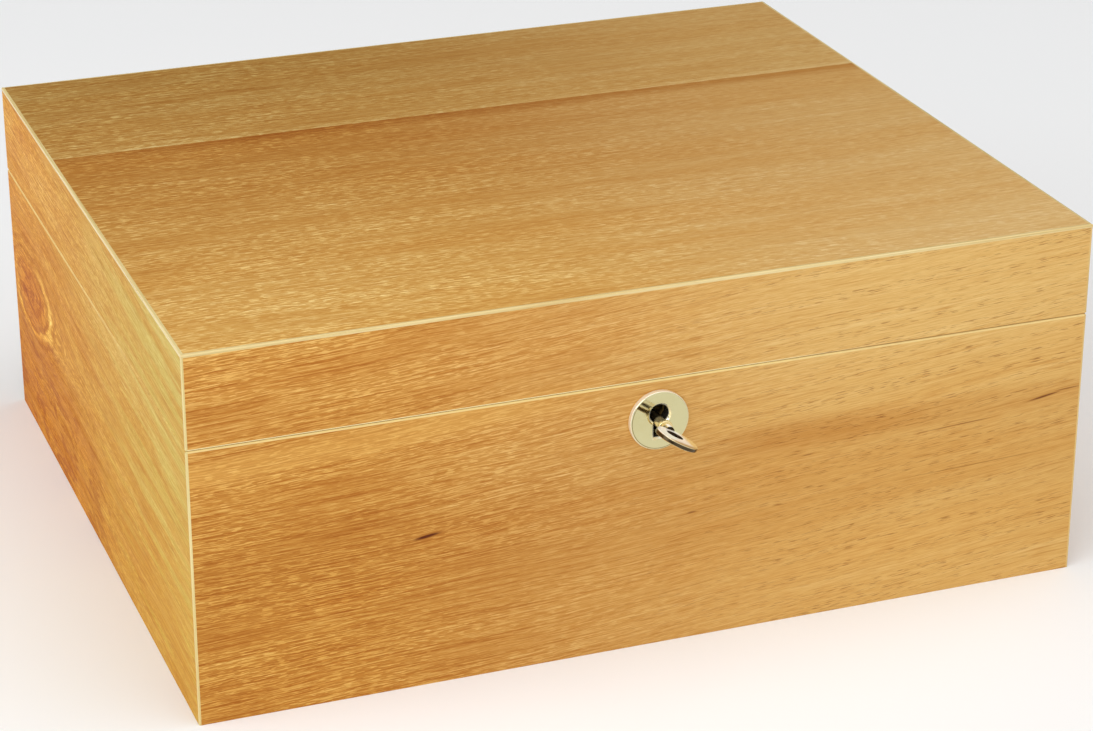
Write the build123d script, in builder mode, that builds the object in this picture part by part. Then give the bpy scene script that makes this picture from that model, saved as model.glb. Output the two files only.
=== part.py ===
from build123d import *
import os
from math import cos, radians, sin, tan

# Lockable wooden money box: a mitred wooden case with a hinged lid, pale wood stringing along
# its arrises, a cut-in box lock with a sliding bolt, a round escutcheon and a hollow key.
# Millimetres. The origin is at the centre of the underside, +X runs to the right along the
# front, +Y from the front to the back and +Z up.

os.makedirs("parts", exist_ok=True)

# ---------------------------------------------------------------- driving dimensions
box_width = 300.0
box_depth = 258.0
box_height = 123.3
seam_z = 92.3
seam_gap = 0.2

base_wall = 11.0
lid_wall = 10.5
floor_board = 7.0
floor_rebate = 4.0
baize = 1.2
baize_margin = 0.5
felt = 1.5
felt_gap = 0.3
lining = 3.0
lining_lip = 5.0
lip_chamfer = 1.0
seam_ease = 0.35

top_board = 8.0
top_joint_y = 47.0
string_top = 1.0
string_top_round = 0.4
string_corner = 0.7
string_corner_round = 0.4

hinge_spacing = 190.0
hinge_length = 40.0
hinge_inset = 1.0
hinge_bevel = 48.0
leaf = 1.0
barrel_radius = 2.5
barrel_recess = 2.9
hinge_pin_radius = 1.0
running_gap = 0.05
knuckles = 5
knuckle_gap = 0.3
hinge_screw_step = 13.0
hinge_screw_inset = 3.2

screw_radius = 1.0
screw_head_radius = 1.9
screw_head = 0.9
screw_length = 8.0
screw_slot = 0.5
screw_slot_depth = 0.45

escutcheon_z = 79.0
escutcheon_radius = 9.8
escutcheon_plate = 1.8
escutcheon_round = 0.45
sleeve_wall = 0.8
sleeve_depth = 2.5
keyhole_z = 81.2
keyhole_radius = 3.25
keyhole_slot = 3.9
keyhole_bottom = 73.4
keyhole_bevel = 0.55
keyhole_clearance = 0.3

key_z = 78.5
key_barrel_radius = 1.75
key_pin_radius = 1.0
key_bore_gap = 0.06
key_bit_radius = 5.0
key_bit = 1.6
key_bit_width = 3.6
key_rest_angle = 61.0
key_collar_radius = 2.45
key_collar = 1.5
collar_round = 0.4
collar_gap = 3.2
bow_overlap = 1.2
bore_reach = 1.6
post_tip_reach = 1.0
barrel_clearance = 0.4
bow_radius = 7.1
bow_hole_radius = 2.6
bow_hole_shift = 2.0
bow_thickness = 1.5
bow_round = 0.45
bow_reach = 15.2

case_half = 33.0
case_depth = 7.5
case_sheet = 1.0
case_bottom = 64.65
selvedge = 1.5
selvedge_half = 41.0
selvedge_margin = 1.0
selvedge_screw = 37.0
strike_half = 36.0
strike_screw = 31.0

bolt_travel = 7.5
bolt_sheet = 2.4
bolt_underside = key_z + 3.2
bolt_top = 87.3
talon_half = 1.5
talon_top = key_z + 5.5
finger_underside = 84.8
loop_thickness = 2.0
loop_centres = (-19.0, 15.0)
loop_bottom = 83.3
loop_wall = 0.85
loop_gap = 0.45
loop_foot = 1.1
loop_headroom = 0.6
rail_top = 82.8
rail_bottom = 79.6
rail_clearance = 1.2
finger_gap = 0.8
clear_of_loop = 0.5
block_clearance = 2.0
root_width = 3.5
spring_sheet = 0.4
spring_gap = 0.1
spring_reach = 2.0

overcut = 1.0

# ---------------------------------------------------------------- derived places
half_w = box_width / 2
half_d = box_depth / 2
rim_z = seam_z - seam_gap / 2
lid_z = seam_z + seam_gap / 2
floor_z = baize + floor_board
board_z = box_height - top_board
string_z = box_height - string_top
lip_z = rim_z + lining_lip
hinge_y = half_d - hinge_inset
inner_y = -half_d + base_wall
case_front = inner_y - case_depth
case_inner = case_front + case_sheet
case_back = inner_y - case_sheet
bolt_y = (case_inner + case_back) / 2
case_top = rim_z - selvedge
bow_y = -half_d - bow_reach

MIN_Z = (Align.CENTER, Align.CENTER, Align.MIN)
TOP = (Align.CENTER, Align.CENTER, Align.MAX)
SIDES = ("front", "right", "back", "left")
CORNERS = ("front_left", "front_right", "back_right", "back_left")


def write(builder, name):
    """Label a finished piece and write its STEP file."""
    builder.part.label = name
    export_step(builder.part, "parts/" + name + ".step")


def corner_points(inset):
    """The four plan corners of the box, moved in by a distance, anticlockwise from the front left."""
    x = half_w - inset
    y = half_d - inset
    return [(-x, -y), (x, -y), (x, y), (-x, y)]


def mitred_bar(side, outer, inner, low, high, mode=Mode.ADD):
    """One side of a mitred frame, between two insets from the outside and two heights."""
    first = SIDES.index(side)
    second = (first + 1) % 4
    outside = corner_points(outer)
    inside = corner_points(inner)
    with BuildSketch(Plane.XY.offset(low)) as plan:
        with BuildLine():
            Polyline(outside[first], outside[second], inside[second], inside[first], close=True)
        make_face()
    extrude(plan.sketch, amount=high - low, mode=mode)


def slab(x_range, y_range, z_range, mode=Mode.ADD):
    """A block between two values along each axis."""
    with BuildSketch(Plane.XY.offset(z_range[0])) as plan:
        with Locations(((x_range[0] + x_range[1]) / 2, (y_range[0] + y_range[1]) / 2)):
            Rectangle(x_range[1] - x_range[0], y_range[1] - y_range[0])
    extrude(plan.sketch, amount=z_range[1] - z_range[0], mode=mode)


def rod_x(x_range, y, z, radius, mode=Mode.ADD):
    """A cylinder along X."""
    with BuildSketch(Plane.YZ.offset(x_range[0])) as section:
        with Locations((y, z)):
            Circle(radius)
    extrude(section.sketch, amount=x_range[1] - x_range[0], mode=mode)


def rod_y(x, z, radius, y_range, mode=Mode.ADD):
    """A cylinder along Y."""
    with BuildSketch(Plane.XZ.offset(-y_range[0])) as section:
        with Locations((x, z)):
            Circle(radius)
    extrude(section.sketch, amount=y_range[0] - y_range[1], mode=mode)


def corner_housings():
    """The square rebates down the outer corners, which hold the corner stringing."""
    with Locations(*[(x, y, 0) for x, y in corner_points(0)]):
        Box(2 * string_corner, 2 * string_corner, box_height, align=MIN_Z, mode=Mode.SUBTRACT)


def outer_edge(side, edges):
    """Of some edges, the one on the outside face of a side."""
    if side in ("front", "back"):
        along = edges.filter_by(Axis.X).sort_by(Axis.Y)
    else:
        along = edges.filter_by(Axis.Y).sort_by(Axis.X)
    return along[0] if side in ("front", "left") else along[-1]


def ease_seam(part, side, height):
    """Break the outer arris of a wall at the seam."""
    level = part.edges().filter_by_position(Axis.Z, height, height)
    chamfer(outer_edge(side, level), seam_ease)


def back_bevel(facing):
    """Bevel behind the hinge axis: facing is -1 for the base's rim and 1 for the lid's."""
    level = seam_z + facing * seam_gap / 2
    outside = half_d + overcut
    drop = facing * (outside - hinge_y) * tan(radians(hinge_bevel))
    with BuildSketch(Plane.YZ.offset(-half_w)) as wedge:
        with BuildLine():
            Polyline((hinge_y, level), (outside, level), (outside, level + drop), close=True)
        make_face()
    extrude(wedge.sketch, amount=box_width, mode=Mode.SUBTRACT)


# ---------------------------------------------------------------- screws
def screw_spots(xs, y, z, facing):
    """Places of countersunk screws whose heads face up (1) or down (-1)."""
    return [Location((x, y, z), (0 if facing > 0 else 180, 0, 0)) for x in xs]


def screw_shapes(spots, mode=Mode.ADD):
    """Countersunk heads and shanks, also used to cut the seats that they fill."""
    with Locations(*spots):
        Cone(screw_radius, screw_head_radius, screw_head, align=TOP, mode=mode)
        Cylinder(screw_radius, screw_length, align=TOP, mode=mode)


def screw_group(spots, name):
    """A group of identical slotted screws, in one node."""
    with BuildPart() as screws:
        screw_shapes(spots)
        with Locations(*spots):
            Box(2 * screw_head_radius, screw_slot, screw_slot_depth, align=TOP, mode=Mode.SUBTRACT)
    write(screws, name)


hinge_centres = {"left": -hinge_spacing / 2, "right": hinge_spacing / 2}
leaf_y = half_d - lid_wall
hinge_screw_y = leaf_y + hinge_screw_inset
base_hinge_spots = {}
lid_hinge_spots = {}
for hand, centre in hinge_centres.items():
    screw_xs = [centre - hinge_screw_step, centre, centre + hinge_screw_step]
    base_hinge_spots[hand] = screw_spots(screw_xs, hinge_screw_y, rim_z, 1)
    lid_hinge_spots[hand] = screw_spots(screw_xs, hinge_screw_y, lid_z, -1)
selvedge_spots = screw_spots((-selvedge_screw, selvedge_screw), bolt_y, rim_z, 1)
strike_spots = screw_spots((-strike_screw, strike_screw), bolt_y, lid_z, -1)

for hand in hinge_centres:
    screw_group(base_hinge_spots[hand], "hinge_base_screws_" + hand)
    screw_group(lid_hinge_spots[hand], "hinge_lid_screws_" + hand)
screw_group(selvedge_spots, "lock_screws")
screw_group(strike_spots, "strike_screws")


# ---------------------------------------------------------------- hinges
def hinge_seats(facing):
    """Cut the leaf recesses, barrel grooves and screw holes of both hinges in a back wall."""
    spots = base_hinge_spots if facing < 0 else lid_hinge_spots
    level = seam_z + facing * seam_gap / 2
    depth_range = sorted((level, level + facing * leaf))
    for hand, centre in hinge_centres.items():
        x_range = (centre - hinge_length / 2, centre + hinge_length / 2)
        slab(x_range, (leaf_y, hinge_y), depth_range, Mode.SUBTRACT)
        rod_x((x_range[0] - overcut, x_range[1] + overcut), hinge_y, seam_z, barrel_recess, Mode.SUBTRACT)
        screw_shapes(spots[hand], Mode.SUBTRACT)


def hinge_leaf(hand, facing, name):
    """One leaf of a butt hinge with its knuckles: facing -1 on the base, 1 on the lid."""
    centre = hinge_centres[hand]
    start = centre - hinge_length / 2
    step = hinge_length / knuckles
    level = seam_z + facing * seam_gap / 2
    own = 0 if facing < 0 else 1
    bore = hinge_pin_radius if facing < 0 else hinge_pin_radius + running_gap
    spots = base_hinge_spots[hand] if facing < 0 else lid_hinge_spots[hand]
    with BuildPart() as plate:
        slab((start, start + hinge_length), (leaf_y, hinge_y), sorted((level, level + facing * leaf)))
        for index in range(knuckles):
            low = start + index * step
            if index % 2 == own:
                own_range = (low + knuckle_gap / 2, low + step - knuckle_gap / 2)
                rod_x(own_range, hinge_y, seam_z, barrel_radius)
            else:
                rod_x((low, low + step), hinge_y, seam_z, barrel_radius + knuckle_gap, Mode.SUBTRACT)
        rod_x((start, start + hinge_length), hinge_y, seam_z, bore, Mode.SUBTRACT)
        screw_shapes(spots, Mode.SUBTRACT)
    write(plate, name)


for hand, centre in hinge_centres.items():
    hinge_leaf(hand, -1, "hinge_base_leaf_" + hand)
    hinge_leaf(hand, 1, "hinge_lid_leaf_" + hand)
    with BuildPart() as hinge_pin:
        rod_x((centre - hinge_length / 2, centre + hinge_length / 2), hinge_y, seam_z, hinge_pin_radius)
    write(hinge_pin, "hinge_pin_" + hand)


# ---------------------------------------------------------------- keyhole and escutcheon
def keyhole_cut(y_range, grow=0.0, mode=Mode.SUBTRACT):
    """A prism of the keyhole's outline, a round top over a straight slot, between two depths."""
    with BuildSketch(Plane.XZ.offset(-y_range[0])) as outline:
        with Locations((0, keyhole_z)):
            Circle(keyhole_radius + grow)
        with Locations((0, (keyhole_z + keyhole_bottom - grow) / 2)):
            Rectangle(keyhole_slot + 2 * grow, keyhole_z - keyhole_bottom + grow)
    extrude(outline.sketch, amount=y_range[0] - y_range[1], mode=mode)


with BuildPart() as escutcheon:
    rod_y(0, escutcheon_z, escutcheon_radius, (-half_d - escutcheon_plate, -half_d))
    front_face = escutcheon.faces().sort_by(Axis.Y)[0]
    fillet(front_face.edges(), escutcheon_round)
    keyhole_cut((-half_d, -half_d + sleeve_depth), sleeve_wall, Mode.ADD)
    keyhole_cut((-half_d - escutcheon_plate, -half_d + sleeve_depth))
    front_face = escutcheon.faces().sort_by(Axis.Y)[0]
    chamfer(front_face.inner_wires().edges(), keyhole_bevel)
write(escutcheon, "escutcheon")

# ---------------------------------------------------------------- box lock
loop_y = (case_inner + loop_gap, case_back - loop_gap)
slot_y = (case_inner, case_back)
selvedge_y = (case_front - selvedge_margin, inner_y)

with BuildPart() as lock_case:
    slab((-case_half, case_half), (case_front, case_back), (case_bottom, case_top))
    slab(
        (-case_half + case_sheet, case_half - case_sheet),
        (case_inner, case_back),
        (case_bottom + case_sheet, case_top),
        Mode.SUBTRACT,
    )
    keyhole_cut((case_front, case_inner))
write(lock_case, "lock_case")

with BuildPart() as lock_cap:
    slab((-case_half, case_half), (case_back, inner_y), (case_bottom, case_top))
    rod_y(0, key_z, key_pin_radius, (case_back, inner_y), Mode.SUBTRACT)
write(lock_cap, "lock_cap")

with BuildPart() as lock_key_post:
    rod_y(0, key_z, key_pin_radius, (case_front - post_tip_reach, inner_y))
    post_tip = lock_key_post.faces().sort_by(Axis.Y)[0]
    fillet(post_tip.edges(), key_pin_radius / 2)
write(lock_key_post, "lock_key_post")

with BuildPart() as lock_selvedge:
    slab((-selvedge_half, selvedge_half), selvedge_y, (case_top, rim_z))
    for loop_x in loop_centres:
        slot_half = loop_thickness / 2 + loop_gap
        slab((loop_x - slot_half, loop_x + slot_half), slot_y, (case_top, rim_z), Mode.SUBTRACT)
    screw_shapes(selvedge_spots, Mode.SUBTRACT)
write(lock_selvedge, "lock_selvedge")

# The bolt, drawn back: a talon block over the key, a rail under the left loop, and two fingers
# that slide to the right through the strike plate's loops.
left_loop, right_loop = loop_centres
block_right = right_loop - loop_thickness / 2 - clear_of_loop - bolt_travel
block_left = left_loop + loop_thickness / 2 + block_clearance
root_right = left_loop - loop_thickness / 2 - clear_of_loop - bolt_travel
root_left = root_right - root_width
rail_right = -key_bit_radius - rail_clearance - bolt_travel
talon_x = -bolt_travel / 2

with BuildPart() as lock_bolt:
    with BuildSketch(Plane.XZ.offset(-(bolt_y - bolt_sheet / 2))):
        with BuildLine():
            Polyline(
                (root_left, rail_bottom),
                (rail_right, rail_bottom),
                (rail_right, bolt_underside),
                (talon_x - talon_half, bolt_underside),
                (talon_x - talon_half, talon_top),
                (talon_x + talon_half, talon_top),
                (talon_x + talon_half, bolt_underside),
                (block_right, bolt_underside),
                (block_right, finger_underside),
                (right_loop - loop_thickness / 2 - finger_gap, finger_underside),
                (right_loop - loop_thickness / 2 - finger_gap, bolt_top),
                (block_left, bolt_top),
                (block_left, rail_top),
                (root_right, rail_top),
                (root_right, finger_underside),
                (left_loop - loop_thickness / 2 - finger_gap, finger_underside),
                (left_loop - loop_thickness / 2 - finger_gap, bolt_top),
                (root_left, bolt_top),
                close=True,
            )
        make_face()
    extrude(amount=-bolt_sheet)
write(lock_bolt, "lock_bolt")

# Leaf spring under the bolt's rail, standing on the case's left wall and floor.
spring_foot = -case_half + case_sheet
spring_top = rail_bottom - spring_gap
spring_y = (bolt_y - bolt_sheet / 2, bolt_y + bolt_sheet / 2)
with BuildPart() as lock_spring:
    slab((spring_foot, rail_right + spring_reach), spring_y, (spring_top - spring_sheet, spring_top))
    upright = (case_bottom + case_sheet, spring_top - spring_sheet)
    slab((spring_foot, spring_foot + spring_sheet), spring_y, upright)
write(lock_spring, "lock_spring")

strike_y = (selvedge_y[0], -leaf_y)
strike_level = (lid_z, lid_z + selvedge)
with BuildPart() as strike_plate:
    slab((-strike_half, strike_half), strike_y, strike_level)
    for loop_x in loop_centres:
        loop_range = (loop_x - loop_thickness / 2, loop_x + loop_thickness / 2)
        slab(loop_range, loop_y, (loop_bottom, lid_z))
        eye = (loop_y[0] + loop_wall, loop_y[1] - loop_wall)
        slab(loop_range, eye, (loop_bottom + loop_foot, bolt_top + loop_headroom), Mode.SUBTRACT)
    screw_shapes(strike_spots, Mode.SUBTRACT)
write(strike_plate, "strike_plate")

# ---------------------------------------------------------------- key
rest = radians(key_rest_angle)
bit_direction = Vector(-sin(rest), 0, cos(rest))
key_plane = Plane(origin=(0, 0, key_z), x_dir=(0, -1, 0), z_dir=bit_direction.cross(Vector(0, -1, 0)))
barrel_tip = case_back - barrel_clearance
bit_y = (bolt_y - key_bit_width / 2, bolt_y + key_bit_width / 2)
bow_near = bow_y + bow_radius
collar_y = -half_d - escutcheon_plate - collar_gap

with BuildPart() as key:
    with BuildSketch(key_plane):
        with Locations((-bow_y, 0)):
            Circle(bow_radius)
        with Locations((-bow_y - bow_hole_shift, 0)):
            Circle(bow_hole_radius, mode=Mode.SUBTRACT)
    extrude(amount=bow_thickness / 2, both=True)
    fillet(key.edges().filter_by(GeomType.CIRCLE), bow_round)
    rod_y(0, key_z, key_collar_radius, (collar_y - key_collar, collar_y))
    collar_edges = key.faces().filter_by(GeomType.PLANE).filter_by(Axis.Y).edges()
    fillet(collar_edges, collar_round)
    rod_y(0, key_z, key_barrel_radius, (bow_near - bow_overlap, barrel_tip))
    with BuildSketch(key_plane):
        with Locations((-(bit_y[0] + bit_y[1]) / 2, 0)):
            Rectangle(key_bit_width, key_bit_radius, align=(Align.CENTER, Align.MAX))
    extrude(amount=key_bit / 2, both=True)
    rod_y(0, key_z, key_pin_radius + key_bore_gap, (case_front - bore_reach, barrel_tip), Mode.SUBTRACT)
write(key, "key")

# ---------------------------------------------------------------- base
for side in SIDES:
    with BuildPart() as base_side:
        mitred_bar(side, 0, base_wall, 0, rim_z)
        if side != "back":
            ease_seam(base_side, side, rim_z)
        corner_housings()
        mitred_bar(side, base_wall - floor_rebate, base_wall, 0, floor_z, Mode.SUBTRACT)
        if side == "front":
            slab((-case_half, case_half), (case_front, inner_y), (case_bottom, case_top), Mode.SUBTRACT)
            slab((-selvedge_half, selvedge_half), selvedge_y, (case_top, rim_z), Mode.SUBTRACT)
            screw_shapes(selvedge_spots, Mode.SUBTRACT)
            keyhole_cut((-half_d, -half_d + sleeve_depth), sleeve_wall)
            keyhole_cut((-half_d, case_front), keyhole_clearance)
        if side != "front":
            back_bevel(-1)
        if side == "back":
            hinge_seats(-1)
    write(base_side, "base_" + side + "_wall")

floor_inset = base_wall - floor_rebate
baize_inset = floor_inset + baize_margin
with BuildPart() as base_floor:
    with BuildSketch(Plane.XY.offset(baize)):
        Rectangle(box_width - 2 * floor_inset, box_depth - 2 * floor_inset)
    extrude(amount=floor_board)
write(base_floor, "base_floor")

with BuildPart() as base_baize:
    with BuildSketch():
        Rectangle(box_width - 2 * baize_inset, box_depth - 2 * baize_inset)
    extrude(amount=baize)
write(base_baize, "base_baize")

for side in SIDES:
    with BuildPart() as lining_side:
        mitred_bar(side, base_wall, base_wall + lining, floor_z, lip_z)
        lip_edges = lining_side.edges().filter_by_position(Axis.Z, lip_z, lip_z)
        chamfer(outer_edge(side, lip_edges), lip_chamfer)
    write(lining_side, "lining_" + side)

felt_inset = base_wall + lining + felt_gap
with BuildPart() as floor_felt:
    with BuildSketch(Plane.XY.offset(floor_z)):
        Rectangle(box_width - 2 * felt_inset, box_depth - 2 * felt_inset)
    extrude(amount=felt)
write(floor_felt, "floor_felt")


def corner_string(corner, low, high, facing, name):
    """A square strip down one outer corner: facing is -1 below the seam and 1 above it."""
    index = CORNERS.index(corner)
    arris_x, arris_y = corner_points(0)[index]
    seam_level = high if facing < 0 else low
    with BuildPart() as strip:
        with BuildSketch(Plane.XY.offset(low)):
            with Locations(corner_points(string_corner / 2)[index]):
                Rectangle(string_corner, string_corner)
        extrude(amount=high - low)
        arris = strip.edges().filter_by(Axis.Z).sort_by_distance((arris_x, arris_y, (low + high) / 2))
        fillet(arris[0], string_corner_round)
        if corner.startswith("back"):
            back_bevel(facing)
        else:
            seam_edges = strip.edges().filter_by_position(Axis.Z, seam_level, seam_level)
            chamfer(seam_edges.sort_by_distance((arris_x, arris_y, seam_level))[0:3], seam_ease)
    write(strip, name)


for corner in CORNERS:
    corner_string(corner, 0, rim_z, -1, "base_string_" + corner)
    corner_string(corner, lid_z, string_z, 1, "lid_corner_string_" + corner)

# ---------------------------------------------------------------- lid
for side in SIDES:
    with BuildPart() as lid_side:
        mitred_bar(side, 0, lid_wall, lid_z, string_z)
        if side != "back":
            ease_seam(lid_side, side, lid_z)
        corner_housings()
        mitred_bar(side, string_top, lid_wall, board_z, string_z, Mode.SUBTRACT)
        if side == "front":
            slab((-strike_half, strike_half), strike_y, strike_level, Mode.SUBTRACT)
            screw_shapes(strike_spots, Mode.SUBTRACT)
        if side != "front":
            back_bevel(1)
        if side == "back":
            hinge_seats(1)
    write(lid_side, "lid_" + side + "_wall")

for side in SIDES:
    with BuildPart() as top_string:
        mitred_bar(side, 0, string_top, string_z, box_height)
        top_edges = top_string.edges().filter_by_position(Axis.Z, box_height, box_height)
        fillet(outer_edge(side, top_edges), string_top_round)
    write(top_string, "lid_string_" + side)

board_x = half_w - string_top
board_y = half_d - string_top
for name, y_range in (("front", (-board_y, top_joint_y)), ("back", (top_joint_y, board_y))):
    with BuildPart() as board:
        slab((-board_x, board_x), y_range, (board_z, box_height))
    write(board, "lid_top_board_" + name)

with BuildPart() as lid_felt:
    with BuildSketch(Plane.XY.offset(board_z - felt)):
        Rectangle(box_width - 2 * (lid_wall + felt_gap), box_depth - 2 * (lid_wall + felt_gap))
    extrude(amount=felt)
write(lid_felt, "lid_felt")
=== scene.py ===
import math
from collections import namedtuple

import bmesh
import bpy
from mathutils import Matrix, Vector, noise


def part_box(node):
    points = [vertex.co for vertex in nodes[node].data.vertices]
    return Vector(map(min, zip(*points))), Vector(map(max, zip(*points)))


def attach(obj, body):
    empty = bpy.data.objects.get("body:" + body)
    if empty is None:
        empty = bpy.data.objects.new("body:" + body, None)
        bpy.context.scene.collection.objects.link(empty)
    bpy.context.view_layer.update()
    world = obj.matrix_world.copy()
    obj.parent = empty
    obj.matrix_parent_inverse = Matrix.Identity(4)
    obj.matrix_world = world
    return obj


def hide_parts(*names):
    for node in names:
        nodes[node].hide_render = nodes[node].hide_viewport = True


# A lockable wooden money box: looks for the CAD frame. Metres, in the CAD frame: the origin is at
# the centre of the underside, +X right along the front, +Y to the back, +Z up. The materials work
# on the same axes in millimetres.

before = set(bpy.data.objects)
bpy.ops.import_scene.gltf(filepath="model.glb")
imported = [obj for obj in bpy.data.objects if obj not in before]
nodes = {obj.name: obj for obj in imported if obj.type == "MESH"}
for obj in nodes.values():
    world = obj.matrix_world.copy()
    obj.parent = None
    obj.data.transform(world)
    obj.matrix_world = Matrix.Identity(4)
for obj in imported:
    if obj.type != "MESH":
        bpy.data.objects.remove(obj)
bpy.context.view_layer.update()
mm = 0.001

# Places on the case, the escutcheon and the key, in millimetres. The frame's own are in metres.
case_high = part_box("lid_string_right")[1]
half_width, half_depth, height = case_high.x / mm, case_high.y / mm, case_high.z / mm
seam_z = (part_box("base_front_wall")[1].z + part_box("lid_front_wall")[0].z) / 2 / mm
joint_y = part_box("lid_top_board_back")[0].y / mm

plate_low, plate_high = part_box("escutcheon")
plate_z = (plate_low.z + plate_high.z) / 2 / mm
plate_radius = (plate_high.x - plate_low.x) / 2 / mm
plate_front = plate_low.y / mm

post_low, post_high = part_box("lock_key_post")
key_z = (post_low.z + post_high.z) / 2 / mm
key_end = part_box("key")[0].y / mm
key_tilt = math.radians(61)  # the bow's turn from upright
bow_hole_y = key_end + 9.1
bow_hole_radius = 2.6
bow_end = (key_end + 14.5, key_end + 16.0)


# ---------------------------------------------------------------- node graphs
class Graph:
    """Adds nodes to a node tree with short calls. Sockets are passed between calls."""

    def __init__(self, tree):
        self.tree = tree

    def node(self, kind, **settings):
        made = self.tree.nodes.new(kind)
        for key, value in settings.items():
            setattr(made, key, value)
        return made

    def feed(self, socket, value):
        if isinstance(value, bpy.types.NodeSocket):
            self.tree.links.new(value, socket)
        else:
            socket.default_value = value

    def math(self, operation, a, b=0.0):
        made = self.node("ShaderNodeMath", operation=operation)
        self.feed(made.inputs[0], a)
        self.feed(made.inputs[1], b)
        return made.outputs[0]

    def add(self, a, b):
        return self.math("ADD", a, b)

    def sub(self, a, b):
        return self.math("SUBTRACT", a, b)

    def mul(self, a, b):
        return self.math("MULTIPLY", a, b)

    def gap(self, a, b):
        """How far apart two values are."""
        return self.math("ABSOLUTE", self.sub(a, b))

    def shifted(self, value, noise_value, reach):
        """A value moved to either side by a noise."""
        return self.add(value, self.mul(self.sub(noise_value, 0.5), reach))

    def vector(self, x, y, z=0.0):
        made = self.node("ShaderNodeCombineXYZ")
        for socket, value in zip(made.inputs, (x, y, z)):
            self.feed(socket, value)
        return made.outputs[0]

    def dot(self, vector, direction):
        """The dot product with a fixed direction."""
        made = self.node("ShaderNodeVectorMath", operation="DOT_PRODUCT")
        self.feed(made.inputs[0], vector)
        made.inputs[1].default_value = direction
        return made.outputs["Value"]

    def noise(self, vector, detail=2.0, rough=0.5, distortion=0.0):
        made = self.node("ShaderNodeTexNoise", noise_dimensions="3D")
        self.feed(made.inputs["Vector"], vector)
        made.inputs["Scale"].default_value = 1.0
        made.inputs["Detail"].default_value = detail
        made.inputs["Roughness"].default_value = rough
        made.inputs["Distortion"].default_value = distortion
        return made.outputs["Fac"]

    def flat_noise(self, u, v, u_scale, v_scale, seed, **settings):
        """Noise over two coordinates, each with its own scale."""
        place = self.vector(self.mul(u, u_scale), self.mul(v, v_scale), seed)
        return self.noise(place, **settings)

    def step(self, value, low, high, out_low=0.0, out_high=1.0):
        """A smooth step: out_low below low, out_high above high."""
        made = self.node("ShaderNodeMapRange", interpolation_type="SMOOTHSTEP")
        for name, number in (("Value", value), ("From Min", low), ("From Max", high),
                             ("To Min", out_low), ("To Max", out_high)):
            self.feed(made.inputs[name], number)
        return made.outputs["Result"]

    def fade(self, value, start, end, strength=1.0):
        """A smooth step down, from strength to nothing."""
        return self.step(value, start, end, strength, 0.0)

    def stripe(self, value, centre, core, edge, strength=1.0):
        """A soft stripe: full within core of its centre, and nothing beyond edge."""
        return self.fade(self.gap(value, centre), core, edge, strength)

    def ellipse(self, u, v, centre, size, tilt=0.0):
        """Distance from an ellipse's centre, in its own half lengths."""
        du = self.sub(u, centre[0])
        dv = self.sub(v, centre[1])
        cos, sin = math.cos(tilt), math.sin(tilt)
        main = self.add(self.mul(du, cos / size[0]), self.mul(dv, sin / size[0]))
        side = self.sub(self.mul(dv, cos / size[1]), self.mul(du, sin / size[1]))
        return self.math("SQRT", self.add(self.mul(main, main), self.mul(side, side)))

    def ramp(self, value, positions, colours):
        """A colour ramp."""
        made = self.node("ShaderNodeValToRGB")
        elements = made.color_ramp.elements
        while len(elements) < len(positions):
            elements.new(0.5)
        for element, position, colour in zip(elements, positions, colours):
            element.position = position
            element.color = (*colour, 1)
        self.feed(made.inputs[0], value)
        return made.outputs["Color"]

    def mix(self, share, a, b, blend="MIX"):
        """Goes from colour a to colour b."""
        made = self.node("ShaderNodeMix", data_type="RGBA", blend_type=blend)
        self.feed(made.inputs["Factor"], share)
        for name, value in (("A", a), ("B", b)):
            is_socket = isinstance(value, bpy.types.NodeSocket)
            self.feed(made.inputs[name], value if is_socket else (*value, 1))
        return made.outputs["Result"]

    def tone(self, share, colour, factor):
        """Multiplies a colour by a factor."""
        return self.mix(share, colour, factor, "MULTIPLY")

    def bump(self, height_socket, distance, strength):
        made = self.node("ShaderNodeBump")
        made.inputs["Distance"].default_value = distance
        made.inputs["Strength"].default_value = strength
        self.feed(made.inputs["Height"], height_socket)
        return made.outputs[0]


class MaterialGraph(Graph):
    """A new material's graph. axes holds the place on the object in millimetres."""

    def __init__(self, name):
        self.material = bpy.data.materials.new(name)
        self.material.use_nodes = True
        super().__init__(self.material.node_tree)
        self.shader = self.tree.nodes["Principled BSDF"]
        scaled = self.node("ShaderNodeVectorMath", operation="SCALE")
        self.feed(scaled.inputs[0], self.node("ShaderNodeTexCoord").outputs["Object"])
        scaled.inputs["Scale"].default_value = 1 / mm
        split = self.node("ShaderNodeSeparateXYZ")
        self.feed(split.inputs[0], scaled.outputs[0])
        self.axes = dict(zip("XYZ", split.outputs))

    def scaled(self, scale, grain_axis=None, along=0.0, seed=None):
        """The place on the object times a scale, with another scale along the grain."""
        parts = []
        for axis, value in self.axes.items():
            part = self.mul(value, along if axis == grain_axis else scale)
            parts.append(part if seed is None else self.add(part, seed))
        return self.vector(*parts)

    def facing(self, direction):
        """How much the surface faces a direction, from -1 to 1."""
        return self.dot(self.node("ShaderNodeTexCoord").outputs["Normal"], direction)

    def finish(self, **inputs):
        """Feeds the shader's inputs by name, with underscores for spaces."""
        for key, value in inputs.items():
            self.feed(self.shader.inputs[key.replace("_", " ")], value)
        return self.material


def coat(name, material):
    """Give a CAD node its material."""
    data = nodes[name].data
    data.materials.clear()
    data.materials.append(material)


def srgb(r, g, b):
    """A colour given in 0 to 255 screen values, as linear light."""
    def linear(value):
        value /= 255
        return value / 12.92 if value <= 0.04045 else ((value + 0.055) / 1.055) ** 2.4
    return linear(r), linear(g), linear(b)


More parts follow.
